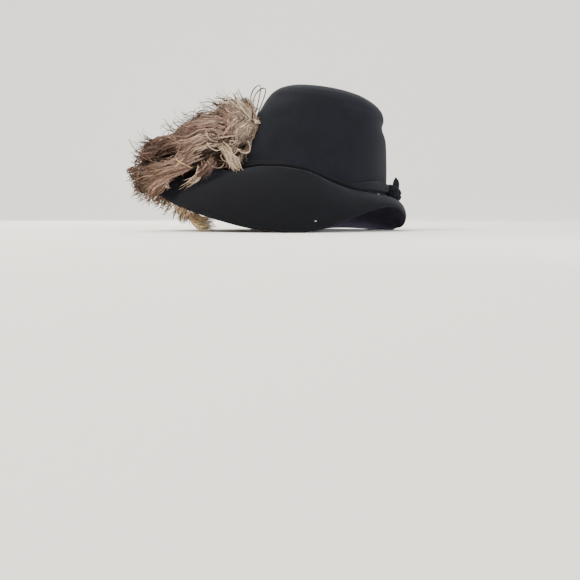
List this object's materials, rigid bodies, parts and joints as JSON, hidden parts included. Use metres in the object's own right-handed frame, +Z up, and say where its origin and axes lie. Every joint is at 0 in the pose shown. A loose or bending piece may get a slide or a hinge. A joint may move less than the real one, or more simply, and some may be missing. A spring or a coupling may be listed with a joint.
{
  "type": "fedora hat",
  "caption": "Wide-brimmed dark felt fedora tipped to one side, with a knotted felt strap round the crown and a curled ostrich plume wrapping the brim.",
  "frame": {"origin": "under the middle of the whole hat, on the surface that it rests on", "axes": "+Z up, -Y to the viewer of the hat's front, +X to the knotted side and -X to the plume's side"},
  "size_m": [0.3308, 0.2774, 0.1712],
  "materials": {
    "hat_felt": "blue-black fur felt, short matt nap",
    "strap_felt": "blue-black felt, cut and folded, matt",
    "feather": "curled ostrich barbs, cream to taupe with dark brown tips"
  },
  "bodies": {
    "root": {"crown": "hat_felt", "brim": "hat_felt", "band": "strap_felt", "knot": "strap_felt", "knot_end": "strap_felt", "plume": "feather"}
  },
  "joints": []
}
